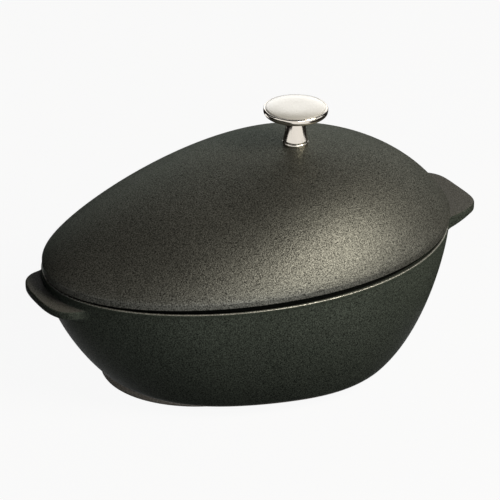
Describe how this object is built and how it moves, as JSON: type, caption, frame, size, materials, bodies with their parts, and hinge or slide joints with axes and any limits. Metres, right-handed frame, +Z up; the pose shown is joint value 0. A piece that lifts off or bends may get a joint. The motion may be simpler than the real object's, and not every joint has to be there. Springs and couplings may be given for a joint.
{
  "type": "mussel pot",
  "caption": "Egg-shaped cast-iron cooking pot with two flat tab handles and a high domed lid that lifts off by a turned metal knob.",
  "frame": {"origin": "on the ground plane under the pot, at the middle of the length over the handles", "axes": "+X along the pot from its pointed end to its blunt end, +Y across it, +Z up"},
  "size_m": [0.291, 0.1866, 0.1543],
  "materials": {
    "pot_enamel": "matt black enamel with a fine grain on cast iron",
    "lid_enamel": "matt black enamel with a fine grain on cast iron",
    "knob_metal": "polished nickel, satin on top of the cap",
    "fixing_steel": "plain steel"
  },
  "bodies": {
    "pot": {"pot": "pot_enamel"},
    "lid": {"lid": "lid_enamel", "knob": "knob_metal", "knob_washer": "fixing_steel", "knob_spring_washer": "fixing_steel", "knob_screw": "fixing_steel"}
  },
  "joints": [
    {"name": "lid_lift", "type": "slide", "parent": "pot", "child": "lid", "axis": [0, 0, 1], "range_m": [0, 0.08]}
  ]
}
